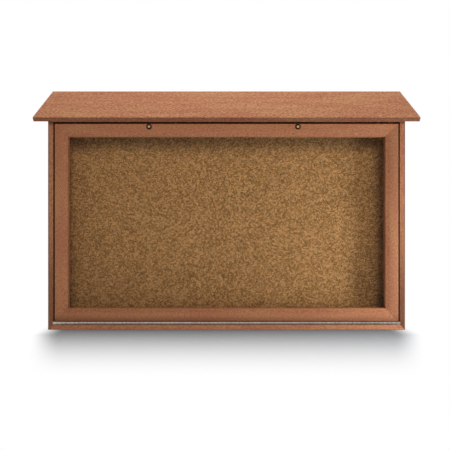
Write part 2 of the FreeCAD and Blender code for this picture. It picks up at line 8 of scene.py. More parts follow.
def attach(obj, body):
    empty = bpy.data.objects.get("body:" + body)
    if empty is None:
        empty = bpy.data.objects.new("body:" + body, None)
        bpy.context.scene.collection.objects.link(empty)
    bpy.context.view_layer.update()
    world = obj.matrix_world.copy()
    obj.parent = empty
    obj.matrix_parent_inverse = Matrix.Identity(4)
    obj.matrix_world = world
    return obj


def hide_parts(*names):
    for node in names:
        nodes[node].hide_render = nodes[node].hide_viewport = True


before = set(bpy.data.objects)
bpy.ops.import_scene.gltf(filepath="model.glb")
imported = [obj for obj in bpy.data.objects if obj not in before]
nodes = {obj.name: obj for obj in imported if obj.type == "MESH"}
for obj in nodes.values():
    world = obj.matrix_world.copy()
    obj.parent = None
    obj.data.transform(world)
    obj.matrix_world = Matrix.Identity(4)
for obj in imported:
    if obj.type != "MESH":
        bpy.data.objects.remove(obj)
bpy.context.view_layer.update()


# Roof board. The real one is a plank of recycled plastic lumber, extruded 12.7 mm thick and screwed to
# the case from below. It lies at 38 degrees and is sawn plumb at the wall. Its edges are rounded with a
# router, the upper front one most, and its downward-facing front face is painted darker, as shade.

def mm(*lengths):
    """Millimetres as a vector in Blender's metres."""
    return Vector(lengths) / 1000


def block(name, low, high):
    """Add a block between two corners, in millimetres, with its place in its mesh."""
    low, high = mm(*low), mm(*high)
    bpy.ops.object.select_all(action="DESELECT")
    bpy.ops.mesh.primitive_cube_add(size=1, location=(low + high) / 2, scale=high - low)
    bpy.ops.object.transform_apply(location=True, rotation=True, scale=True)
    piece = bpy.context.object
    piece.name = name
    return piece


def pick_up(piece):
    """Select one piece alone and make it the active one."""
    bpy.ops.object.select_all(action="DESELECT")
    bpy.context.view_layer.objects.active = piece
    piece.select_set(True)


def choose(piece, kind, wanted):
    """Open a piece for editing with the corners, edges or faces chosen whose points pass the test."""
    pick_up(piece)
    bpy.ops.object.mode_set(mode="EDIT")
    bpy.ops.mesh.select_mode(type=kind)
    bpy.ops.mesh.select_all(action="DESELECT")
    shape = bmesh.from_edit_mesh(piece.data)
    for element in {"VERT": shape.verts, "EDGE": shape.edges, "FACE": shape.faces}[kind]:
        corners = [element] if kind == "VERT" else element.verts
        if wanted([corner.co * 1000 for corner in corners]):
            element.select_set(True)
    bmesh.update_edit_mesh(piece.data)


def close(piece):
    """Leave editing, merge what lies together and face everything outwards."""
    bpy.ops.mesh.select_all(action="SELECT")
    bpy.ops.mesh.remove_doubles(threshold=1e-6)
    bpy.ops.mesh.normals_make_consistent(inside=False)
    bpy.ops.object.mode_set(mode="OBJECT")
    return piece


def everything(points):
    """The test that all corners, edges and faces pass."""
    return True


def near(value, wanted):
    """Whether a measure in millimetres is the wanted one."""
    return abs(value - wanted) < 0.01


def saw(piece, point, normal):
    """Saw a piece flat at a point, in millimetres, and drop what lies on the normal's side."""
    choose(piece, "FACE", everything)
    bpy.ops.mesh.bisect(plane_co=mm(*point), plane_no=normal, use_fill=True, clear_outer=True)
    return close(piece)


def ease(piece, radius, wanted, segments=4):
    """Round the chosen edges of a piece."""
    choose(piece, "EDGE", wanted)
    bpy.ops.mesh.bevel(offset=radius / 1000, segments=segments, affect="EDGES", clamp_overlap=True)
    return close(piece)


def break_edges(piece, radius, segments=1):
    """Take the sharpness off every edge of a piece, as sandpaper or a file does."""
    pick_up(piece)
    edges = piece.modifiers.new("edges", "BEVEL")
    edges.width = radius / 1000
    edges.segments = segments
    edges.limit_method = "ANGLE"
    edges.angle_limit = math.radians(35)
    bpy.ops.object.modifier_apply(modifier="edges")
    return piece


def linear(colour):
    """sRGB hex colour as linear RGBA."""
    parts = [int(colour[i:i + 2], 16) / 255 for i in (1, 3, 5)]
    return [part / 12.92 if part <= 0.04045 else ((part + 0.055) / 1.055) ** 2.4 for part in parts] + [1]


def new_material(name):
    """Empty material, its shader already joined to its output, and the place of every point of a piece."""
    material = bpy.data.materials.new(name)
    material.use_nodes = True
    place = add_node(material, "ShaderNodeTexCoord", {}, {}).outputs["Object"]
    return material, material.node_tree.nodes["Principled BSDF"], place


def feed(owner, node, inputs):
    """Give a node's inputs each a value, an output, or a node, whose first output in use is linked."""
    for name, value in inputs.items():
        if isinstance(value, bpy.types.Node):
            value = next(output for output in value.outputs if output.enabled)
        if isinstance(value, bpy.types.NodeSocket):
            owner.node_tree.links.new(value, node.inputs[name])
        else:
            node.inputs[name].default_value = value


def add_node(owner, kind, settings, inputs):
    """Add a node with its settings and links."""
    node = owner.node_tree.nodes.new(kind)
    for name, value in settings.items():
        setattr(node, name, value)
    feed(owner, node, inputs)
    return node


def lumber(name, dark, light, tan, along, grain=(6.0, 3.0)):
    """Recycled plastic lumber: HDPE flake, melted and extruded, so matt with a slightly drawn-out mottle.

    The flake gives dark and light blotches of the grain's length and height in millimetres, drawn out
    along the board. The light flake turns tan in slow patches over 16 cm, and the fine extruded tooth is
    drawn 2 mm long so that it still shows."""
    material, shader, place = new_material(name)
    patterns = []
    for length, height, detail in (grain + (2.0,), (160.0, 26.0, 2.0), (2.2, 0.7, 1.0)):
        scales = [1000 / (length if axis == along else height) for axis in "XYZ"]
        stretched = add_node(material, "ShaderNodeMapping", {}, {"Vector": place, "Scale": scales})
        patterns.append(add_node(material, "ShaderNodeTexNoise", {}, {
            "Vector": stretched, "Scale": 1.0, "Detail": detail, "Roughness": 0.55}))
    flake, tone, tooth = patterns
    mottle = add_node(material, "ShaderNodeMapRange", {}, {
        "Value": flake, "From Min": 0.36, "From Max": 0.64})
    drift = add_node(material, "ShaderNodeMapRange", {}, {
        "Value": tone, "From Min": 0.3, "From Max": 0.7, "To Min": -0.16, "To Max": 0.16})
    share = add_node(material, "ShaderNodeMath", {"operation": "ADD", "use_clamp": True},
                     {0: mottle, 1: drift})
    patch = add_node(material, "ShaderNodeMapRange", {}, {
        "Value": tone, "From Min": 0.42, "From Max": 0.62})
    pale = add_node(material, "ShaderNodeMix", {"data_type": "RGBA"},
                    {0: patch, 6: linear(light), 7: linear(tan)})
    colour = add_node(material, "ShaderNodeMix", {"data_type": "RGBA"},
                      {0: share, 6: linear(dark), 7: pale})
    gloss = add_node(material, "ShaderNodeMapRange", {}, {"Value": flake, "To Min": 0.78, "To Max": 0.62})
    relief = add_node(material, "ShaderNodeMath", {"operation": "MULTIPLY_ADD"},
                      {0: flake, 1: 0.5, 2: tooth})
    bump = add_node(material, "ShaderNodeBump", {}, {
        "Height": relief, "Distance": 0.00022, "Strength": 0.7})
    feed(material, shader, {"Base Color": colour, "Roughness": gloss, "Normal": bump, "IOR": 1.46,
                            "Specular IOR Level": 0.16})
    return material


def wear(piece, material):
    """Give a piece one material all over."""
    piece.data.materials.clear()
    piece.data.materials.append(material)


def fit(piece, material, slot, body, *stands_for):
    """Give a piece its finish, and fix it to its body in place of its CAD nodes."""
    pick_up(piece)
    bpy.ops.object.shade_smooth_by_angle(angle=math.radians(30))
    wear(piece, material)
    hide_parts(*stands_for)
    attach(piece, body)
    return piece


def refinish(piece, material, wanted):
    """Give the faces of a fitted piece whose points pass the test a second material."""
    piece.data.materials.append(material)
    choose(piece, "FACE", wanted)
    piece.active_material_index = 1
    bpy.ops.object.material_slot_assign()
    bpy.ops.object.mode_set(mode="OBJECT")


roof_half = 559.0
eaves = (-147.181, 291.3)       # depth and height of the lower front edge
upper_edge = -154.0             # only the upper front edge lies further forward
pitch = math.radians(38)
roof_thickness = 12.7
upper_round = 5.0
end_round = 2.5
shaded_face_depth = 1.5                      # depth of the front face that is painted darker, as shade
slope = 400.0                   # longer than the board, which is sawn at the wall

roof = block("roof_plank", (-roof_half, 0, 0), (roof_half, slope, roof_thickness))
roof.data.transform(Matrix.Translation(mm(0, *eaves)) @ Matrix.Rotation(pitch, 4, "X"))
saw(roof, (0, 0, 0), (0, 1, 0))
ease(roof, upper_round, lambda points: all(point.y < upper_edge for point in points), segments=6)
ease(roof, end_round, lambda points: any(point.y < -1 for point in points) and (
    all(near(abs(point.x), roof_half) for point in points)
    or all(near(point.z, eaves[1]) for point in points)), segments=5)
break_edges(roof, radius=0.6)
roof_lumber = lumber("extruded_lumber_roof", "#9E6346", "#CB8E6A", "#C99469", "X", (7.0, 4.0))
fine_grain = (4.0, 3.0)
shaded_edge_lumber = lumber("lumber_edge_painted_shade", "#784630", "#97614A", "#94654A", "X", fine_grain)
fit(roof, roof_lumber, "case_board", "case", "roof_board")
# The front face is painted darker, as the shade that falls on it.
refinish(roof, shaded_edge_lumber, lambda points: all(
    (point.y - eaves[0]) * math.cos(pitch) + (point.z - eaves[1]) * math.sin(pitch) < shaded_face_depth
    for point in points))


# Case boards. Two sides, a bottom and a head rail, 17 mm thick, ripped from the same lumber, mitred at the
# foot, grooved for the back and screwed from below. Their front edges are rounded, and the sides' outer
# rounds are painted darker as shade. Shade is painted along the joint round the door, and darkens the
# sides' fronts towards their foot.

def draw(name, corners, filled=True):
    """Draw an outline point by point, in millimetres, and fill it."""
    here = mm(*corners[0])
    bpy.ops.object.select_all(action="DESELECT")
    bpy.ops.mesh.primitive_plane_add(size=0.001, location=here)
    bpy.ops.object.transform_apply(location=True)
    piece = bpy.context.object
    piece.name = name
    bpy.ops.object.mode_set(mode="EDIT")
    bpy.ops.mesh.select_mode(type="VERT")
    bpy.ops.mesh.select_all(action="SELECT")
    bpy.ops.mesh.merge(type="CENTER")
    for corner in corners[1:]:
        there = mm(*corner)
        bpy.ops.mesh.extrude_vertices_move(TRANSFORM_OT_translate={"value": there - here})
        here = there
    bpy.ops.mesh.select_all(action="SELECT")
    if filled:
        bpy.ops.mesh.edge_face_add()
    bpy.ops.object.mode_set(mode="OBJECT")
    return piece


def pull(piece, *way):
    """Pull a flat outline out into a solid, by a way in millimetres."""
    choose(piece, "FACE", everything)
    bpy.ops.mesh.extrude_region_move(TRANSFORM_OT_translate={"value": mm(*way)})
    return close(piece)


def paint_shade(material, low, high, shade_rise=0, darkest_shade=0):
    """Paint shade into lumber along the joint round the door, whose inside lies between two heights.

    Where a rise is given, painted shade also darkens the lumber towards the lower height, where it covers
    the darkest share of the lumber, and thins out upwards over that rise."""
    shader = material.node_tree.nodes["Principled BSDF"]
    unshaded = shader.inputs["Base Color"].links[0].from_socket
    place = add_node(material, "ShaderNodeTexCoord", {}, {}).outputs["Object"]
    from_middle = add_node(material, "ShaderNodeVectorMath", {"operation": "SUBTRACT"},
                           {0: place, 1: mm(0, 0, (low + high) / 2)})
    either_way = add_node(material, "ShaderNodeVectorMath", {"operation": "ABSOLUTE"}, {0: from_middle})
    past = add_node(material, "ShaderNodeVectorMath", {"operation": "SUBTRACT"},
                    {0: either_way, 1: mm(door_half, 0, (high - low) / 2)})
    ways = add_node(material, "ShaderNodeSeparateXYZ", {}, {"Vector": past}).outputs
    outward = add_node(material, "ShaderNodeMath", {"operation": "MAXIMUM"}, {0: ways["X"], 1: ways["Z"]})
    begun, ended, forward = (
        add_node(material, "ShaderNodeMapRange", {"interpolation_type": "SMOOTHSTEP"}, {
            "Value": value, "From Min": start / 1000, "From Max": stop / 1000})
        for value, (start, stop) in ((outward, shade_begins), (outward, shade_ends), (ways["Y"], shade_front)))
    along_joint = add_node(material, "ShaderNodeMath", {"operation": "MULTIPLY"}, {0: begun, 1: ended})
    shade_share = add_node(material, "ShaderNodeMath", {"operation": "MULTIPLY"}, {0: along_joint, 1: forward})
    if shade_rise:
        height = add_node(material, "ShaderNodeSeparateXYZ", {}, {"Vector": place}).outputs["Z"]
        foot_shade = add_node(material, "ShaderNodeMapRange", {"interpolation_type": "SMOOTHSTEP"}, {
            "Value": height, "From Min": (low + shade_rise) / 1000, "From Max": low / 1000, "To Max": darkest_shade})
        shade_share = add_node(material, "ShaderNodeMath", {"operation": "MAXIMUM"}, {0: shade_share, 1: foot_shade})
    # Painted shade: this near-black brown darkens the joint and the foot, where shade falls.
    shaded_colour = add_node(material, "ShaderNodeMix", {"data_type": "RGBA"},
                      {0: shade_share, 6: unshaded, 7: linear("#170D08")})
    feed(material, shader, {"Base Color": shaded_colour})


def under_roof(depth):
    """Height of the roof board's underside at a depth."""
    return eaves[1] + (depth - eaves[0]) * math.tan(pitch)


case_front = -127.0
case_low = -317.0
inner_half = 508.5
outer_half = 525.5
board_thickness = 17.0
floor_top = case_low + board_thickness
outer_round = 3.0
inner_round = 1.0
groove = 6.0
groove_front = -26.1
groove_back = -16.9
head_low = 292.4
head_back = -110.0
head_round = 1.5
sanded = 0.5
door_half = 504.5
joint_heights = (-296.0, 289.4)
shade_begins = (-1.8, -0.2)      # outwards from the door's edge, where the painted shade sets in
shade_ends = (5.2, 4.4)          # and where it stops
shade_front = (100, 115)         # from the wall, behind which no shade is painted
slope_normal = (0, -math.sin(pitch), math.cos(pitch))

ripped_tones = ("#A4694A", "#C9835D", "#C7885D")
board_level = lumber("ripped_lumber_level", *ripped_tones, "X")
# Painted shade along the door's joint on the bottom board and head rail.
paint_shade(board_level, *joint_heights)
shaded_upright_lumber = lumber("lumber_upright_painted_shade", "#5C3424", "#764B38", "#744E38", "Z", fine_grain)

# Each side is painted darker towards its foot, as shade, and the right one is painted deeper.
for name, side, shade_rise, darkest_shade in (("left", -1, 400, 0.45), ("right", 1, 520, 0.68)):
    board_upright = lumber("ripped_lumber_" + name, *ripped_tones, "Z")
    paint_shade(board_upright, *joint_heights, shade_rise, darkest_shade)
    inner, outer = side * inner_half, side * outer_half
    grooved = side * (inner_half + groove)
    upright = draw("side_board_" + name, [
        (outer, case_front, case_low), (outer, 0, case_low), (inner, 0, case_low),
        (inner, groove_back, case_low), (grooved, groove_back, case_low), (grooved, groove_front, case_low),
        (inner, groove_front, case_low), (inner, case_front, case_low)])
    pull(upright, 0, 0, under_roof(0) - case_low + 1)
    for edge, radius in ((outer, outer_round), (inner, inner_round)):
        ease(upright, radius, lambda points: all(
            near(point.x, edge) and near(point.y, case_front) for point in points), segments=5)
    saw(upright, (0, *eaves), slope_normal)
    saw(upright, (outer, 0, case_low), (-side, 0, -1))
    break_edges(upright, sanded)
    fit(upright, board_upright, "case_board", "case", "case_side_" + name)
    # The outer rounded front edges are painted darker, as shade.
    refinish(upright, shaded_upright_lumber, lambda points: all(
        abs(point.x) > outer_half - outer_round - 0.1 and point.y < case_front + outer_round
        for point in points))

bottom = draw("bottom_board", [
    (-outer_half, case_front, case_low), (-outer_half, 0, case_low), (-outer_half, 0, floor_top),
    (-outer_half, groove_back, floor_top), (-outer_half, groove_back, floor_top - groove),
    (-outer_half, groove_front, floor_top - groove), (-outer_half, groove_front, floor_top),
    (-outer_half, case_front, floor_top)])
pull(bottom, 2 * outer_half, 0, 0)
for edge, radius in ((case_low, outer_round), (floor_top, inner_round)):
    ease(bottom, radius, lambda points: all(
        near(point.z, edge) and near(point.y, case_front) for point in points), segments=5)
sides = (-1, 1)
for side in sides:
    saw(bottom, (side * outer_half, 0, case_low), (side, 0, 1))
break_edges(bottom, sanded)
fit(bottom, board_level, "case_board", "case", "case_bottom")

head = draw("head_rail_board", [
    (-inner_half, case_front, head_low), (-inner_half, head_back, head_low),
    (-inner_half, head_back, under_roof(head_back)), (-inner_half, case_front, under_roof(case_front))])
pull(head, 2 * inner_half, 0, 0)
ease(head, head_round, lambda points: all(
    near(point.z, head_low) and near(point.y, case_front) for point in points))
fit(head, board_level, "case_board", "case", "head_rail")


# Case screws. Stainless countersunk screws with a cross recess, driven just below the face: up through
# the bottom board's mitres into the sides, and up through the head rail into the roof.

def metal(name, colour, tarnish, roughness, along, line=(40.0, 0.8)):
    """Worked metal: fine lines of the given length and width in millimetres, the way that it was rolled,
    drawn or turned, and faint clouds of tarnish 18 mm across. Real lines are finer than can show."""
    material, shader, place = new_material(name)
    scales = [1000 / (line[0] if axis == along else line[1]) for axis in "XYZ"]
    stretched = add_node(material, "ShaderNodeMapping", {}, {"Vector": place, "Scale": scales})
    lines = add_node(material, "ShaderNodeTexNoise", {}, {
        "Vector": stretched, "Scale": 1.0, "Detail": 2.0})
    clouds = add_node(material, "ShaderNodeTexNoise", {}, {
        "Vector": place, "Scale": 1000 / 18, "Detail": 3.0})
    share = add_node(material, "ShaderNodeMapRange", {}, {
        "Value": clouds, "From Min": 0.35, "From Max": 0.7})
    tint = add_node(material, "ShaderNodeMix", {"data_type": "RGBA"},
                    {0: share, 6: linear(colour), 7: linear(tarnish)})
    gloss = add_node(material, "ShaderNodeMapRange", {}, {
        "Value": lines, "To Min": roughness - 0.1, "To Max": roughness + 0.1})
    bump = add_node(material, "ShaderNodeBump", {}, {"Height": lines, "Distance": 0.00004, "Strength": 0.6})
    feed(material, shader, {"Base Color": tint, "Roughness": gloss, "Normal": bump, "Metallic": 1.0})
    return material


def aimed(piece, seat, way):
    """Turn a piece made round the Z axis to a direction, and set its origin on a seat."""
    turn = Vector(way).to_track_quat("Z", "Y").to_matrix().to_4x4()
    piece.data.transform(Matrix.Translation(mm(*seat)) @ turn)
    return piece


def turned(name, profile, steps=32):
    """Turn a profile of (radius, height) points round the Z axis, as on a lathe."""
    piece = draw(name, [(radius, 0, height) for radius, height in profile], filled=False)
    choose(piece, "EDGE", everything)
    bpy.ops.mesh.spin(steps=steps, angle=2 * math.pi, center=(0, 0, 0), axis=(0, 0, 1))
    return close(piece)


def cut(piece, tool, operation="DIFFERENCE"):
    """Cut a piece with a tool, or join or intersect the two, and put the tool away."""
    pick_up(piece)
    work = piece.modifiers.new("work", "BOOLEAN")
    work.operation = operation
    work.solver = "EXACT"
    work.object = tool
    bpy.ops.object.modifier_apply(modifier="work")
    bpy.data.objects.remove(tool, do_unlink=True)
    return piece


def set_out(model, name, places):
    """Copy a model to every (seat, way), each copy with its own mesh, and gather them as one piece."""
    copies = []
    for seat, way in places:
        copy = model.copy()
        copy.data = model.data.copy()
        bpy.context.collection.objects.link(copy)
        copies.append(aimed(copy, seat, way))
    bpy.data.objects.remove(model, do_unlink=True)
    pick_up(copies[0])
    for copy in copies:
        copy.select_set(True)
    bpy.ops.object.join()
    copies[0].name = name
    return copies[0]


def screw(size):
    """Countersunk screw with its head a little below the origin and its point further down."""
    head_radius, shank_radius, length = size[0] / 2, size[1] / 2, size[2]
    model = turned("screw", [
        (0, -sunk), (head_radius - rim, -sunk), (head_radius, -sunk - rim),
        (shank_radius, shank_radius - head_radius - sunk), (shank_radius, tip - length), (0, -length)], 24)
    for reach, width in ((0.55, 0.11), (0.11, 0.55)):
        arm = block("driver", (-reach * head_radius, -width * head_radius, -0.4 * head_radius),
                    (reach * head_radius, width * head_radius, 1))
        choose(arm, "VERT", lambda points: points[0].z < 0)
        bpy.ops.transform.resize(value=(0.6, 0.6, 1), center_override=(0, 0, 0))
        cut(model, close(arm))
    return model


def countersink(board, size, places):
    """Bore and countersink a finished board for the screws of a size at every (seat, way)."""
    head_radius, shank_radius, length = size[0] / 2 + sunk, size[1] / 2 + sunk, size[2] + 0.5
    cone = -sunk - rim
    bit = turned("bit", [
        (0, 1), (head_radius, 1), (head_radius, cone), (shank_radius, cone - head_radius + shank_radius),
        (shank_radius, -length), (0, -length)], 24)
    cut(board, set_out(bit, "bits", places))
    bpy.ops.object.shade_smooth_by_angle(angle=math.radians(30))


def drive(name, size, places, body, node, *boards):
    """Drive one screw of a size at every (seat, way), through the boards that its head bears on."""
    for board in boards:
        countersink(board, size, places)
    return fit(set_out(screw(size), name, places), stainless, "screw_steel", body, node)


# Cold-formed screws are pale and fairly bright.
stainless = metal("cold_formed_stainless", "#B4B0A9", "#9A958C", 0.34, "Z")
sunk = 0.15                     # of a screw's head below the face, and clear all round
rim = 0.2                       # height of the head's edge
tip = 2.0                       # length of the point
board_screw = (8.0, 4.2, 30.0)  # head and shank across, and length
corner_screw = (8.0, 4.2, 40.0)
corner_seats = [((517.0 * side, y, case_low), (0, 0, -1)) for side in sides for y in (-93.0, -43.0)]
head_seats = [((x, -121.5, head_low), (0, 0, -1)) for x in (-448.5, -149.5, 149.5, 448.5)]

drive("corner_screws", corner_screw, corner_seats, "case", "case_corner_screws", bottom)
drive("head_screws", board_screw, head_seats, "case", "head_rail_screws", head)


# Cleats, battens and back. Square cleats are screwed to the sides and up into the roof; two battens lie on
# the wall and a third carries the roof's back edge. A 9 mm sheet slides into the grooves and is screwed on.

def cleat_point(side, along, across, inward):
    """Point on a roof cleat: along the slope, down from the roof, and in from the case's side."""
    return (side * (inner_half - inward), cleat_front + along * math.cos(pitch) + across * math.sin(pitch),
            under_roof(cleat_front) + along * math.sin(pitch) - across * math.cos(pitch))


def bore(piece, radius, seat, way, start, end):
    """Drill a round hole along a way, between two distances from a seat on its axis."""
    drill = turned("drill", [(0, start), (radius, start), (radius, end), (0, end)])
    return cut(piece, aimed(drill, seat, way))


def wall_bores(piece, heights):
    """Bore the clearance holes of the wall screws through a piece."""
    for side in sides:
        for z in heights:
            bore(piece, wall_bore, (side * wall_screw_across, -30, z), (0, -1, 0), 1, -31)
    return piece


# Sawn strips are darker and finer in grain than the boards, and the rolled sheet is darker still.
strip_tones = ("#8B5940", "#A56F50", "#A3744F")
strip_lumber = lumber("sawn_lumber_strip", *strip_tones, "X", fine_grain)
sheet_plastic = lumber("rolled_plastic_sheet", "#6E4836", "#825944", "#805C42", "X", (9.0, 6.0))
cleat_front = -97.0
cleat_size = 18.0
cleat_length = 73.5
cleat_inset = 12.0
down_slope = (0, math.sin(pitch), -math.cos(pitch))
cleats = []
for name, side in (("left", -1), ("right", 1)):
    cleat = draw("cleat_" + name, [cleat_point(side, along, across, 0) for along, across in (
        (0, 0), (cleat_length, 0), (cleat_length, cleat_size), (0, cleat_size))])
    pull(cleat, -side * cleat_size, 0, 0)
    break_edges(cleat, sanded)
    cleats.append(fit(cleat, strip_lumber, "inner_board", "case", "roof_cleat_" + name))
drive("roof_cleat_screws", board_screw, [
    (cleat_point(side, cleat_length / 2 + step, cleat_size, cleat_size / 2), down_slope)
    for side in sides for step in (-cleat_size / 2, cleat_size / 2)], "case", "roof_screws", *cleats)
drive("side_cleat_screws", board_screw, [
    (cleat_point(side, along, cleat_size / 2, cleat_size), (-side, 0, 0)) for side in sides
    for along in (cleat_inset, cleat_length - cleat_inset)], "case", "cleat_screws", *cleats)

batten_front = -17.0
batten_end = 508.0
batten_half = 20.0              # of its height
batten_sanded = 0.8
wall_screw_across = 450.0
wall_screw_height = 280.0
wall_bore = 4.0
for name, height in (("lower", -wall_screw_height), ("upper", wall_screw_height)):
    batten = block("wall_batten_" + name, (-batten_end, batten_front, height - batten_half),
                   (batten_end, 0, height + batten_half))
    wall_bores(break_edges(batten, batten_sanded), (height,))
    fit(batten, strip_lumber, "inner_board", "case", "rear_batten_" + name)

ridge_low = 353.01
ridge_screw_height = 373.01
past_roof = 420.0               # the stock is this high before it is sawn to the roof's slope
ridge = block("ridge_batten", (-batten_end, batten_front, ridge_low), (batten_end, 0, past_roof))
saw(ridge, (0, *eaves), slope_normal)
fit(break_edges(ridge, batten_sanded), strip_lumber, "inner_board", "case", "roof_batten")

back_half = 514.2
back_low = -305.7
back_front = -26.0
back_screw = (8.0, 4.2, 20.0)
back = block("back_sheet_panel", (-back_half, back_front, back_low), (back_half, batten_front, past_roof))
saw(back, (0, *eaves), slope_normal)
wall_bores(back, (-wall_screw_height, wall_screw_height))
fit(back, sheet_plastic, "back_sheet", "case", "back_panel")
back_seats = [((x, back_front, z), (0, -1, 0)) for x in (-338.5, 338.5)
              for z in (-wall_screw_height, wall_screw_height, ridge_screw_height)]
drive("back_screws", back_screw, back_seats, "case", "back_panel_screws", back)


# Tackboard. A 6 mm sheet of pressed cork granules, glued on 6 mm fibreboard, which is glued on the back.
# The granules are 3 to 5 mm across, pale to dark, bound with dark resin, so the face is matt and speckled.

def pressed_cork():
    """Cork: granules as cells with a tone each, finer dust between them, and shallow pits at their edges.
    The dust is drawn 1.4 mm across, coarser than it is, so that it still shows."""
    material, shader, place = new_material("pressed_cork")
    granules = add_node(material, "ShaderNodeTexVoronoi", {}, {
        "Vector": place, "Scale": 1000 / granule, "Randomness": 1.0})
    tone = add_node(material, "ShaderNodeSeparateColor", {}, {0: granules.outputs["Color"]})
    dust, patches = (add_node(material, "ShaderNodeTexNoise", {}, {
        "Vector": place, "Scale": 1000 / across, "Detail": 2.0}) for across in (1.4, 60))
    dusty = add_node(material, "ShaderNodeMath", {"operation": "MULTIPLY_ADD"},
                     {0: dust, 1: 0.7, 2: tone})
    patchy = add_node(material, "ShaderNodeMath", {"operation": "MULTIPLY_ADD"},
                      {0: patches, 1: 0.12, 2: dusty})
    share = add_node(material, "ShaderNodeMapRange", {}, {
        "Value": patchy, "From Min": 0.3, "From Max": 1.5})
    ramp = add_node(material, "ShaderNodeValToRGB", {}, {"Fac": share})
    for stop, colour in zip(ramp.color_ramp.elements, (cork_dark, cork_pale)):
        stop.color = linear(colour)
    middle = ramp.color_ramp.elements.new(0.45)
    middle.color = linear(cork_middle)
    depth = add_node(material, "ShaderNodeMath", {"operation": "MULTIPLY_ADD"},
                     {0: granules, 1: -1.2, 2: dust})
    bump = add_node(material, "ShaderNodeBump", {}, {
        "Height": depth, "Distance": 0.0004, "Strength": 0.6})
    feed(material, shader, {
        "Base Color": ramp, "Roughness": 0.92, "Normal": bump, "Specular IOR Level": 0.25})
    return material


granule = 3.8
cork_dark, cork_middle, cork_pale = "#674723", "#9E7141", "#D7A064"
tackboard_half = 507.5
tackboard_height = 272.0
cork_front = -38.0
fibre_front = -32.0
cork_sheet = block("cork_face", (-tackboard_half, cork_front, -tackboard_height),
                   (tackboard_half, fibre_front, tackboard_height))
fit(break_edges(cork_sheet, 0.7, 2), pressed_cork(), "cork", "case", "cork_sheet")


def pressed_wood(name, dark, light, fibre):
    """Pressed wood, matt: pale and dark fibres of the given length in millimetres, drawn 0.8 mm thick so
    that they still show, lying mostly along the piece, and faint stains 40 mm across."""
    material, shader, place = new_material(name)
    scales = (1000 / fibre, 1000 / 0.8, 1000 / 0.8)
    combed = add_node(material, "ShaderNodeMapping", {}, {"Vector": place, "Scale": scales})
    fibres = add_node(material, "ShaderNodeTexNoise", {}, {"Vector": combed, "Scale": 1.0, "Detail": 3.0})
    stains = add_node(material, "ShaderNodeTexNoise", {}, {
        "Vector": place, "Scale": 1000 / 40, "Detail": 1.0})
    stained = add_node(material, "ShaderNodeMath", {"operation": "MULTIPLY_ADD"},
                       {0: stains, 1: 0.4, 2: fibres})
    share = add_node(material, "ShaderNodeMapRange", {}, {
        "Value": stained, "From Min": 0.5, "From Max": 0.9})
    colour = add_node(material, "ShaderNodeMix", {"data_type": "RGBA"},
                      {0: share, 6: linear(dark), 7: linear(light)})
    bump = add_node(material, "ShaderNodeBump", {}, {"Height": fibres, "Distance": 0.0002, "Strength": 0.5})
    feed(material, shader, {
        "Base Color": colour, "Roughness": 0.85, "Normal": bump, "Specular IOR Level": 0.25})
    return material


fibreboard = pressed_wood("pressed_fibreboard", "#5E452D", "#6E5337", 9.0)
backing = block("fibre_backing", (-tackboard_half, fibre_front, -tackboard_height),
                (tackboard_half, back_front, tackboard_height))
fit(break_edges(backing, 0.3), fibreboard, "fibreboard", "case", "tackboard_backing")


# Door stops. A strip of the same lumber is screwed inside each side, and black closed-cell foam tape on its
# front keeps the closed door from rattling. The foam is dull, with cells 0.9 mm across and soft corners.

foam, foam_shader, foam_place = new_material("closed_cell_foam")
cells = add_node(foam, "ShaderNodeTexVoronoi", {}, {"Vector": foam_place, "Scale": 1000 / 0.9})
foam_bump = add_node(foam, "ShaderNodeBump", {}, {"Height": cells, "Distance": 0.0002, "Strength": 0.5})
foam_tone = add_node(foam, "ShaderNodeMix", {"data_type": "RGBA"},
                     {0: cells, 6: linear("#1B1B1C"), 7: linear("#2A2A2B")})
feed(foam, foam_shader, {"Base Color": foam_tone, "Roughness": 0.95, "Normal": foam_bump})

strip_upright = lumber("sawn_lumber_upright", *strip_tones, "Z", fine_grain)
stop_inner = inner_half - 12
stop_front, stop_back = -108.0, -91.0
tape_front = -110.7
tape_middle = 502.5
tape_half = 5.0
stop_screw = (7.0, 3.6, 22.0)
stops = []
for name, side in (("left", -1), ("right", 1)):
    across = sorted((side * stop_inner, side * inner_half))
    stop = block("door_stop_" + name, (across[0], stop_front, floor_top), (across[1], stop_back, head_low))
    break_edges(stop, sanded)
    stops.append(fit(stop, strip_upright, "inner_board", "case", "stop_strip_" + name))
    tape = block("foam_tape_" + name, (side * tape_middle - tape_half, tape_front, floor_top + 1),
                 (side * tape_middle + tape_half, stop_front, head_low - 1))
    ease(tape, 1.0, lambda points: all(near(point.y, tape_front) for point in points))
    fit(tape, foam, "foam_tape", "case", "stop_gasket_" + name)
stop_seats = [((side * stop_inner, -99.5, z), (-side, 0, 0)) for side in sides for z in (-240.0, 232.4)]
drive("stop_screws", stop_screw, stop_seats, "case", "stop_strip_screws", *stops)


# Door frame. Two stiles and two rails moulded from the same lumber in one section, 38 mm wide and 21 mm
# thick: a flat face, a fine step, a bevel down to the pane, and two rabbets behind. They are mitred and
# keyed at the corners with beech biscuits, and the arris left along each mitre shows as a thin line.

door_low = -291.1
door_high = 289.4
door_face = -132.0
door_back = -111.0
member_round = 3.0
arris = 0.8                     # along the mitres
member_section = [(0, 0), (28.4, 0), (28.4, 0.8), (38, 4), (38, 12), (28, 12), (28, 15.2), (19.5, 15.2),
                  (19.5, 21), (0, 21)]
foot_shade_rise = 22.0                # height over which painted shade thins out along the foot of the door
lock_height = 279.5
lock_places = {"left": -227.0, "right": 209.0}
lock_bore = 6.45


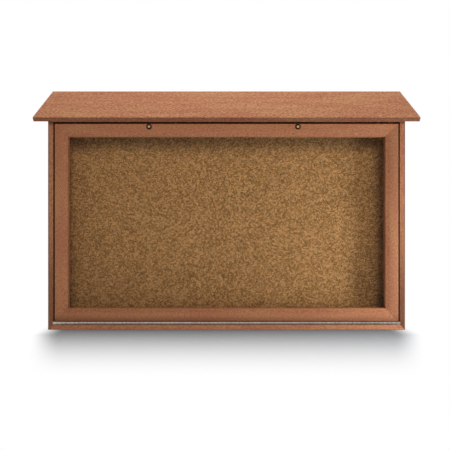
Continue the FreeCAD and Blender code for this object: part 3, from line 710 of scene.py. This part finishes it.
def door_member(name, start, across, along, length):
    """Mould one member from its outer front corner, then mitre both ends."""
    start, across, along = Vector(start), Vector(across), Vector(along)
    member = draw(name, [start + across * width + Vector((0, depth, 0)) for width, depth in member_section])
    pull(member, *(along * length))
    ease(member, member_round, lambda points: all(
        abs((point - start).dot(across)) < 0.1 and near(point.y, door_face) for point in points),
         segments=5)
    saw(member, start, across - along)
    saw(member, start + along * length, across + along)
    for end, normal in ((start, across - along), (start + along * length, across + along)):
        ease(member, arris, lambda points: all(
            abs((point - end).dot(normal)) < 0.02 and point.y < door_face + 4.5 for point in points),
             segments=1)
    return break_edges(member, 0.3)


# Moulded members have the boards' grain, a shade darker.
moulded_tones = ("#9B6346", "#BE7C58", "#BC8158")
moulded_upright = lumber("moulded_lumber_upright", *moulded_tones, "Z")
moulded_level = lumber("moulded_lumber_level", *moulded_tones, "X")
# Painted shade along the door's outer edges, and darker towards the foot of the door next to the hinge.
for members in (moulded_upright, moulded_level):
    paint_shade(members, door_low, door_high, foot_shade_rise, 0.42)
for name, side in (("left", -1), ("right", 1)):
    stile = door_member(name + "_stile", (side * door_half, door_face, door_low), (-side, 0, 0), (0, 0, 1),
                        door_high - door_low)
    fit(stile, moulded_upright, "door_board", "door", "door_stile_" + name)
lower = door_member("bottom_rail", (-door_half, door_face, door_low), (0, 0, 1), (1, 0, 0), 2 * door_half)
fit(lower, moulded_level, "door_board", "door", "door_rail_bottom")
upper = door_member("top_rail", (-door_half, door_face, door_high), (0, 0, -1), (1, 0, 0), 2 * door_half)
for x in lock_places.values():
    bore(upper, lock_bore, (x, door_face, lock_height), (0, -1, 0), 1, -23)
fit(upper, moulded_level, "door_board", "door", "door_rail_top")

beech = pressed_wood("pressed_beech", "#A5814F", "#C29D6B", 7.0)
wear(nodes["door_corner_biscuits"], beech)


# Pane. Clear cast acrylic, 3 mm thick with polished edges, held from behind by four strips of the lumber,
# which ten small screws hold down. It mirrors little, ripples faintly over 140 mm and lets lamp light pass.

acrylic, acrylic_shader, acrylic_place = new_material("cast_acrylic")
ripple = add_node(acrylic, "ShaderNodeTexNoise", {}, {
    "Vector": acrylic_place, "Scale": 1000 / 140, "Detail": 0.0})
ripple_bump = add_node(acrylic, "ShaderNodeBump", {}, {
    "Height": ripple, "Distance": 0.0004, "Strength": 0.15})
feed(acrylic, acrylic_shader, {
    "Base Color": linear("#F2F5F4"), "Roughness": 0.03, "Normal": ripple_bump, "IOR": 1.49,
    "Transmission Weight": 1.0, "Alpha": 0.08})

door_middle = (door_low + door_high) / 2
pane_half = (475.0, 260.75)
pane_front, pane_back = -120.0, -117.0
pane = block("acrylic_pane", (-pane_half[0], pane_front, door_middle - pane_half[1]),
             (pane_half[0], pane_back, door_middle + pane_half[1]))
fit(break_edges(pane, 0.4, 2), acrylic, "clear_pane", "door", "window_pane")

retainer_front, retainer_back = -116.8, -111.8
retainer_outer = (484.5, 270.25)
retainer_width = 18.0
retainer_half = 251.75          # half the length of an upright one
pane_screw = (6.4, 3.2, 12.0)
retainers = []
for name, side in (("bottom", -1), ("top", 1)):
    heights = sorted((door_middle + side * retainer_outer[1],
                      door_middle + side * (retainer_outer[1] - retainer_width)))
    strip = block("retainer_" + name, (-retainer_outer[0], retainer_front, heights[0]),
                  (retainer_outer[0], retainer_back, heights[1]))
    break_edges(strip, sanded, 2)
    retainers.append(fit(strip, moulded_level, "door_board", "door", "pane_retainer_" + name))
for name, side in (("left", -1), ("right", 1)):
    across = sorted((side * retainer_outer[0], side * (retainer_outer[0] - retainer_width)))
    strip = block("retainer_" + name, (across[0], retainer_front, door_middle - retainer_half),
                  (across[1], retainer_back, door_middle + retainer_half))
    break_edges(strip, sanded, 2)
    retainers.append(fit(strip, moulded_upright, "door_board", "door", "pane_retainer_" + name))
level_seats = [((x, retainer_back, door_middle + side * 266.5), (0, 1, 0))
               for side in sides for x in (-421.5, 0, 421.5)]
upright_seats = [((side * 480.75, retainer_back, door_middle + rise), (0, 1, 0))
                 for side in sides for rise in (-207.25, 207.25)]
drive("pane_screws", pane_screw, level_seats + upright_seats, "door", "retainer_screws", *retainers)


# Continuous hinge. Two stainless strips, 2 mm thick, bored flat: their edges are slit into tabs, every
# second tab is cut away, and the rest are rolled round a 4.8 mm pin. Each leaf is screwed down through its
# flat, one on the case's bottom board and one under the door.

hinge_axis = (0, -131.45, -295.55)
knuckle_pitch = 12.7
knuckle_gap = 1.0
knuckle_count = 80
barrel_radius = 4.45
strip_thickness = 2.0
slit = 4.85                     # from the axis back to where the slits end
strip_back = 18.0
roll = 298                      # degrees from the flat of the leaf to the roll's end
rolled_edge = 0.45
hinge_screws = (7.4, 4.0, 15.0)
screw_line = [(11 * knuckle_pitch * i, -120.025) for i in range(-3, 4)]
below_door = [((x, y, -298.0), (0, 0, 1)) for x, y in screw_line]
above_case = [((x, y, -293.1), (0, 0, -1)) for x, y in screw_line]


def rolled_leaf(name, first, side, bores, body, node):
    """Bore one strip, slit it and roll every second tab; side is -1 below the pin and 1 above it."""
    x, y, z = hinge_axis
    end = knuckle_pitch * knuckle_count / 2
    heights = sorted((z + side * barrel_radius, z + side * (barrel_radius - strip_thickness)))
    leaf = block(name, (-end, y + slit, heights[0]), (end, y + strip_back, heights[1]))
    countersink(leaf, hinge_screws, bores)
    tabs = [(i * knuckle_pitch - end + knuckle_gap / 2, (i + 1) * knuckle_pitch - end - knuckle_gap / 2)
            for i in range(first, knuckle_count, 2)]
    choose(leaf, "FACE", everything)
    for place in [place for tab in tabs for place in tab]:
        bpy.ops.mesh.select_all(action="SELECT")
        bpy.ops.mesh.bisect(plane_co=mm(place, 0, 0), plane_no=(1, 0, 0))
    close(leaf)

    def is_tab(points):
        middle = sum(point.x for point in points) / len(points)
        return (all(point.y < y + slit + 0.01 for point in points)
                and any(low < middle < high for low, high in tabs))

    choose(leaf, "FACE", is_tab)
    bpy.ops.mesh.extrude_region_move(TRANSFORM_OT_translate={"value": mm(0, -slit, 0)})
    bpy.ops.mesh.spin(steps=20, angle=math.radians(roll), center=mm(x, y, z), axis=(-side, 0, 0))
    close(leaf)
    break_edges(leaf, rolled_edge)
    choose(leaf, "FACE", everything)
    bpy.ops.mesh.dissolve_degenerate(threshold=2e-5)
    close(leaf)
    fit(leaf, rolled_steel, "hinge_steel", body, node)


# Rolled strip is duller than the screws, with its lines along the hinge.
rolled_steel = metal("rolled_stainless", "#B5AEA7", "#A09992", 0.42, "X")
rolled_leaf("lower_leaf", 0, -1, below_door, "case", "hinge_leaf_case")
rolled_leaf("upper_leaf", 1, 1, above_case, "door", "hinge_leaf_door")
drive("lower_leaf_screws", hinge_screws, below_door, "case", "hinge_case_screws")
drive("upper_leaf_screws", hinge_screws, above_case, "door", "hinge_door_screws")

pin_half = 507.7
pin_radius = 2.4
nose = 0.5                      # bevel at the pin's ends
pin = turned("drawn_pin", [(0, 0), (pin_radius - nose, 0), (pin_radius, nose),
                           (pin_radius, 2 * pin_half - nose), (pin_radius - nose, 2 * pin_half),
                           (0, 2 * pin_half)], 24)
aimed(pin, (-pin_half, hinge_axis[1], hinge_axis[2]), (1, 0, 0))
# The pin is painted dark, as the shade in the gaps between the knuckles.
pin_steel_in_shade = metal("drawn_steel_wire_painted_shade", "#6F6A62", "#57534D", 0.38, "X")
fit(pin, pin_steel_in_shade, "pin_steel", "case", "hinge_pin")


# Cam locks. A bronze-plated body with a bevelled flange is clamped in the top rail by a hexagon nut. A
# nickel plug with a keyway, its face's rim painted dark bronze as shade so that only its centre shows
# bright, turns in it and drives a pressed steel cam, held by a hexagon-head screw. The cam catches behind a
# wear plate on the head rail.

# The oiled bronze is dark with darker clouds, the nickel warm and bright, and the zinc grey and dull.
bronze = metal("oiled_bronze", "#4C2E10", "#2E1B0A", 0.42, "Y", (4.0, 1.2))
nickel = metal("turned_nickel", "#CBB995", "#A8987A", 0.4, "Y", (4.0, 1.2))
zinc = metal("zinc_plated_steel", "#A9A79F", "#8C8A84", 0.4, "Z", (20.0, 1.5))
flange_front = -134.0
nut_back = -108.0
cam_front = -107.7
cam_back = -105.7
cam_length, cam_half = 26.0, 6.0
cam_bolt = (7.0, 2.4)           # across the flats of its head, and how thick
square_half = 3.0
bright_centre_radius = 3.7                      # radius inside which the plug shows bright; outside it the face is painted dark bronze, as shade
strike_low, strike_high, strike_half = 293.9, 315.9, 22.0
strike_screw = (6.4, 3.2, 10.0)
turn_axis = (0, 1, 0)


def hexagon(name, flats, low, high, x):
    """Hexagon bar along Y, turned to a chamfer at its back."""
    reach = flats / math.sqrt(3)
    bar = draw(name, [(x + reach * math.cos(math.radians(60 * i)), low,
                       lock_height + reach * math.sin(math.radians(60 * i))) for i in range(6)])
    pull(bar, 0, high - low, 0)
    cap = turned("cap", [(0, -1), (reach + 1, -1), (reach + 1, 0.6 * (high - low)),
                         (flats / 2 - 0.2, high - low), (0, high - low)], 48)
    return cut(bar, aimed(cap, (x, low, lock_height), turn_axis), "INTERSECT")


def runs_back(points):
    """Whether an edge runs straight back from the door's face."""
    return near(points[0].x, points[1].x) and near(points[0].z, points[1].z)


barrel = 6.35
body_model = turned("lock_body", [(5.35, 24), (5.35, -1.6), (5.75, -2), (7.4, -2), (8.0, -1.6), (8.3, -0.9),
                                  (8.3, 0), (barrel, 0), (barrel, 23.4), (5.9, 24), (5.35, 24)], 48)
lock_bodies = set_out(body_model, "lock_barrels", [
    ((x, door_face, lock_height), turn_axis) for x in lock_places.values()])
fit(lock_bodies, bronze, "lock_bronze", "door", "lock_bodies")

nuts = []
for x in lock_places.values():
    nut = hexagon("clamp_nut", 17.0, door_back, nut_back, x)
    nuts.append(bore(nut, barrel, (x, door_back, lock_height), turn_axis, -9, 9))
pick_up(nuts[0])
nuts[1].select_set(True)
bpy.ops.object.join()
fit(nuts[0], bronze, "lock_bronze", "door", "lock_nuts")

strikes = []
for name, x in lock_places.items():
    body = "lock_" + name
    plug = turned("key_plug_" + name, [
        (0, 0), (bright_centre_radius, 0), (4.9, 0.2), (5.3, 0.6), (5.3, 25.9), (0, 25.9)], 48)
    aimed(plug, (x, flange_front + 0.4, lock_height), turn_axis)
    keyway = block("keyway", (x - 0.7, flange_front - 1, lock_height - 3),
                   (x + 0.7, flange_front + 3.4, lock_height + 3))
    cut(plug, keyway)
    square = block("square", (x - square_half, cam_front - 1, lock_height - square_half),
                   (x + square_half, cam_back - 0.05, lock_height + square_half))
    cut(plug, break_edges(square, 0.2), "UNION")
    fit(plug, nickel, "plug_nickel", body, "lock_plug_" + name)
    # The plug's rim is painted dark bronze, as shade, so that only its centre shows bright.
    refinish(plug, bronze, lambda points: all(
        point.y < flange_front + 1.2 and math.hypot(point.x - x, point.z - lock_height) > bright_centre_radius - 0.05
        for point in points))

    cam = block("pressed_cam_" + name, (x - cam_length, cam_front, lock_height - cam_half),
                (x + cam_half, cam_back, lock_height + cam_half))
    ease(cam, 5.0, runs_back, segments=8)
    hole_half = square_half + 0.05
    cut(cam, block("square", (x - hole_half, cam_front - 1, lock_height - hole_half),
                   (x + hole_half, cam_back + 1, lock_height + hole_half)))
    fit(break_edges(cam, 0.3, 2), zinc, "plate_steel", body, "lock_cam_" + name)

    bolt = hexagon("cam_bolt_" + name, cam_bolt[0], cam_back, cam_back + cam_bolt[1], x)
    shank = turned("shank", [(0, -7.9), (1.7, -7.9), (2.0, -7.6), (2.0, 0.5), (0, 0.5)], 24)
    cut(bolt, aimed(shank, (x, cam_back, lock_height), turn_axis), "UNION")
    fit(bolt, stainless, "screw_steel", body, "lock_cam_screw_" + name)

    strike = block("strike_" + name, (x - strike_half, head_back, strike_low),
                   (x + strike_half, nut_back, strike_high))
    ease(strike, 3.0, runs_back, segments=6)
    strikes.append(fit(break_edges(strike, 0.3, 2), zinc, "plate_steel", "case", "strike_plate_" + name))
strike_seats = [((x + step, nut_back, (strike_low + strike_high) / 2), (0, 1, 0))
                for x in lock_places.values() for step in (-15, 15)]
drive("strike_plate_screws", strike_screw, strike_seats, "case", "strike_screws", *strikes)


# Floor, backdrop, light and camera. Matt white paper lies under a wide soft box, with others in front,
# behind and below, and a small one low on the right. The eye sees the paper as a darker grey, a painted
# shadow that the lamps shade too, so that the board's real shadow shows in it. It fades out by place 420 mm
# in front of the case and at its sides, and the white backdrop shows elsewhere.

def seen_directly(owner):
    """1 for rays from the eye, a mirror or a pane, and 0 for light that falls on things."""
    rays = add_node(owner, "ShaderNodeLightPath", {}, {})
    mirrored = add_node(owner, "ShaderNodeMath", {"operation": "MAXIMUM"},
                        {0: rays.outputs["Is Camera Ray"], 1: rays.outputs["Is Glossy Ray"]})
    return add_node(owner, "ShaderNodeMath", {"operation": "MAXIMUM"},
                    {0: mirrored, 1: rays.outputs["Is Transmission Ray"]})


# Matt paper, a little cool, with no shine.
paper, paper_shader, paper_place = new_material("white_paper")
feed(paper, paper_shader, {"Base Color": linear("#C4CCD3"), "Roughness": 0.95, "Specular IOR Level": 0.2})
from_case = add_node(paper, "ShaderNodeVectorMath", {"operation": "ADD"},
                     {0: paper_place, 1: mm(0, -case_front / 2, -floor_top)})
beside = add_node(paper, "ShaderNodeVectorMath", {"operation": "ABSOLUTE"}, {0: from_case})
beyond = add_node(paper, "ShaderNodeVectorMath", {"operation": "SUBTRACT"},
                  {0: beside, 1: mm(outer_half, -case_front / 2, 0)})
sideways = add_node(paper, "ShaderNodeVectorMath", {"operation": "DOT_PRODUCT"},
                    {0: beyond, 1: (1.0, 0.4, 0)})
forwards = add_node(paper, "ShaderNodeVectorMath", {"operation": "DOT_PRODUCT"},
                    {0: beyond, 1: (0, 1.0, 0)})
depth = add_node(paper, "ShaderNodeVectorMath", {"operation": "DOT_PRODUCT"},
                 {0: from_case, 1: (0, 1.0, 0)})
behind = add_node(paper, "ShaderNodeMapRange", {}, {
    "Value": depth, "From Min": -0.12, "From Max": 0.08, "To Min": 0.0, "To Max": 0.08})
further = add_node(paper, "ShaderNodeMath", {"operation": "ADD"}, {0: sideways, 1: behind})
kept_beside = add_node(paper, "ShaderNodeMapRange", {"interpolation_type": "SMOOTHSTEP"}, {
    "Value": further, "From Min": -0.03, "From Max": 0.05, "To Min": 1.0, "To Max": 0.0})
kept_before = add_node(paper, "ShaderNodeMapRange", {"interpolation_type": "SMOOTHSTEP"}, {
    "Value": forwards, "From Min": -0.1, "From Max": 0.42, "To Min": 1.0, "To Max": 0.0})
kept = add_node(paper, "ShaderNodeMath", {"operation": "MULTIPLY"}, {0: kept_beside, 1: kept_before})
below = add_node(paper, "ShaderNodeNewGeometry", {}, {}).outputs["Backfacing"]
above = add_node(paper, "ShaderNodeMath", {"operation": "SUBTRACT"}, {0: 1.0, 1: below})
painted_shadow_share = add_node(paper, "ShaderNodeMath", {"operation": "MULTIPLY"}, {0: kept, 1: above})
nothing = add_node(paper, "ShaderNodeBsdfTransparent", {}, {})
# Painted shadow: the eye sees the paper as this grey where it is kept, and it fades out by place.
shade = add_node(paper, "ShaderNodeBsdfDiffuse", {}, {"Color": linear("#797F84")})
painted_shadow = add_node(paper, "ShaderNodeMixShader", {}, {0: painted_shadow_share, 1: nothing, 2: shade})
lamp_rays = add_node(paper, "ShaderNodeLightPath", {}, {}).outputs["Is Shadow Ray"]
lit = add_node(paper, "ShaderNodeMixShader", {}, {0: lamp_rays, 1: paper_shader, 2: nothing})
sheet = add_node(paper, "ShaderNodeMixShader", {}, {0: seen_directly(paper), 1: lit, 2: painted_shadow})
feed(paper, paper.node_tree.nodes["Material Output"], {"Surface": sheet})

bpy.ops.object.select_all(action="DESELECT")
bpy.ops.mesh.primitive_plane_add(size=12, location=mm(0, 0, case_low - 0.5))
floor = bpy.context.object
floor.name = "studio_floor"
bpy.ops.object.transform_apply(location=True)
wear(floor, paper)

world = bpy.data.worlds.new("studio")
bpy.context.scene.world = world
world.use_nodes = True
backdrop = world.node_tree.nodes["Background"]
level = add_node(world, "ShaderNodeMapRange", {}, {
    "Value": seen_directly(world), "To Min": 0.03, "To Max": 1.0})
feed(world, backdrop, {"Color": (1, 1, 1, 1), "Strength": level})


def soft_light(name, size, place, aim, power, tint="#FFFFFF"):
    """Square soft box, aimed at a point; places in millimetres and power in watts.

    Glass and metal show the white backdrop and not the lamp itself."""
    bpy.ops.object.select_all(action="DESELECT")
    bpy.ops.object.light_add(type="AREA", location=mm(*place))
    light = bpy.context.object
    light.name = name
    light.data.size = size / 1000
    light.data.energy = power
    light.data.color = linear(tint)[:3]
    light.visible_camera = False
    light.visible_glossy = False
    light.visible_transmission = False
    light.rotation_euler = (mm(*aim) - mm(*place)).to_track_quat("-Z", "Y").to_euler()


soft_light("overhead_softbox", 2000, (0, 500, 2000), (0, 0, -300), 45)
soft_light("front_softbox", 1200, (300, -3000, 950), (0, 0, 0), 40)
soft_light("back_softbox", 1200, (-900, 2800, 1000), (0, 0, 0), 20)
soft_light("under_softbox", 1200, (0, -900, -2400), (0, -60, -300), 10)
soft_light("right_softbox", 240, (840, -540, -190), (350, -130, -230), 3.3, "#E9F4FF")

bpy.ops.object.select_all(action="DESELECT")
eye = (-4.6, -1448, -8.3)
bpy.ops.object.camera_add(location=mm(*eye), rotation=(math.radians(90), 0, 0))
camera = bpy.context.object
camera.data.sensor_width = 36
camera.data.lens = 35.95
bpy.context.scene.camera = camera
bpy.context.scene.view_settings.view_transform = "Standard"
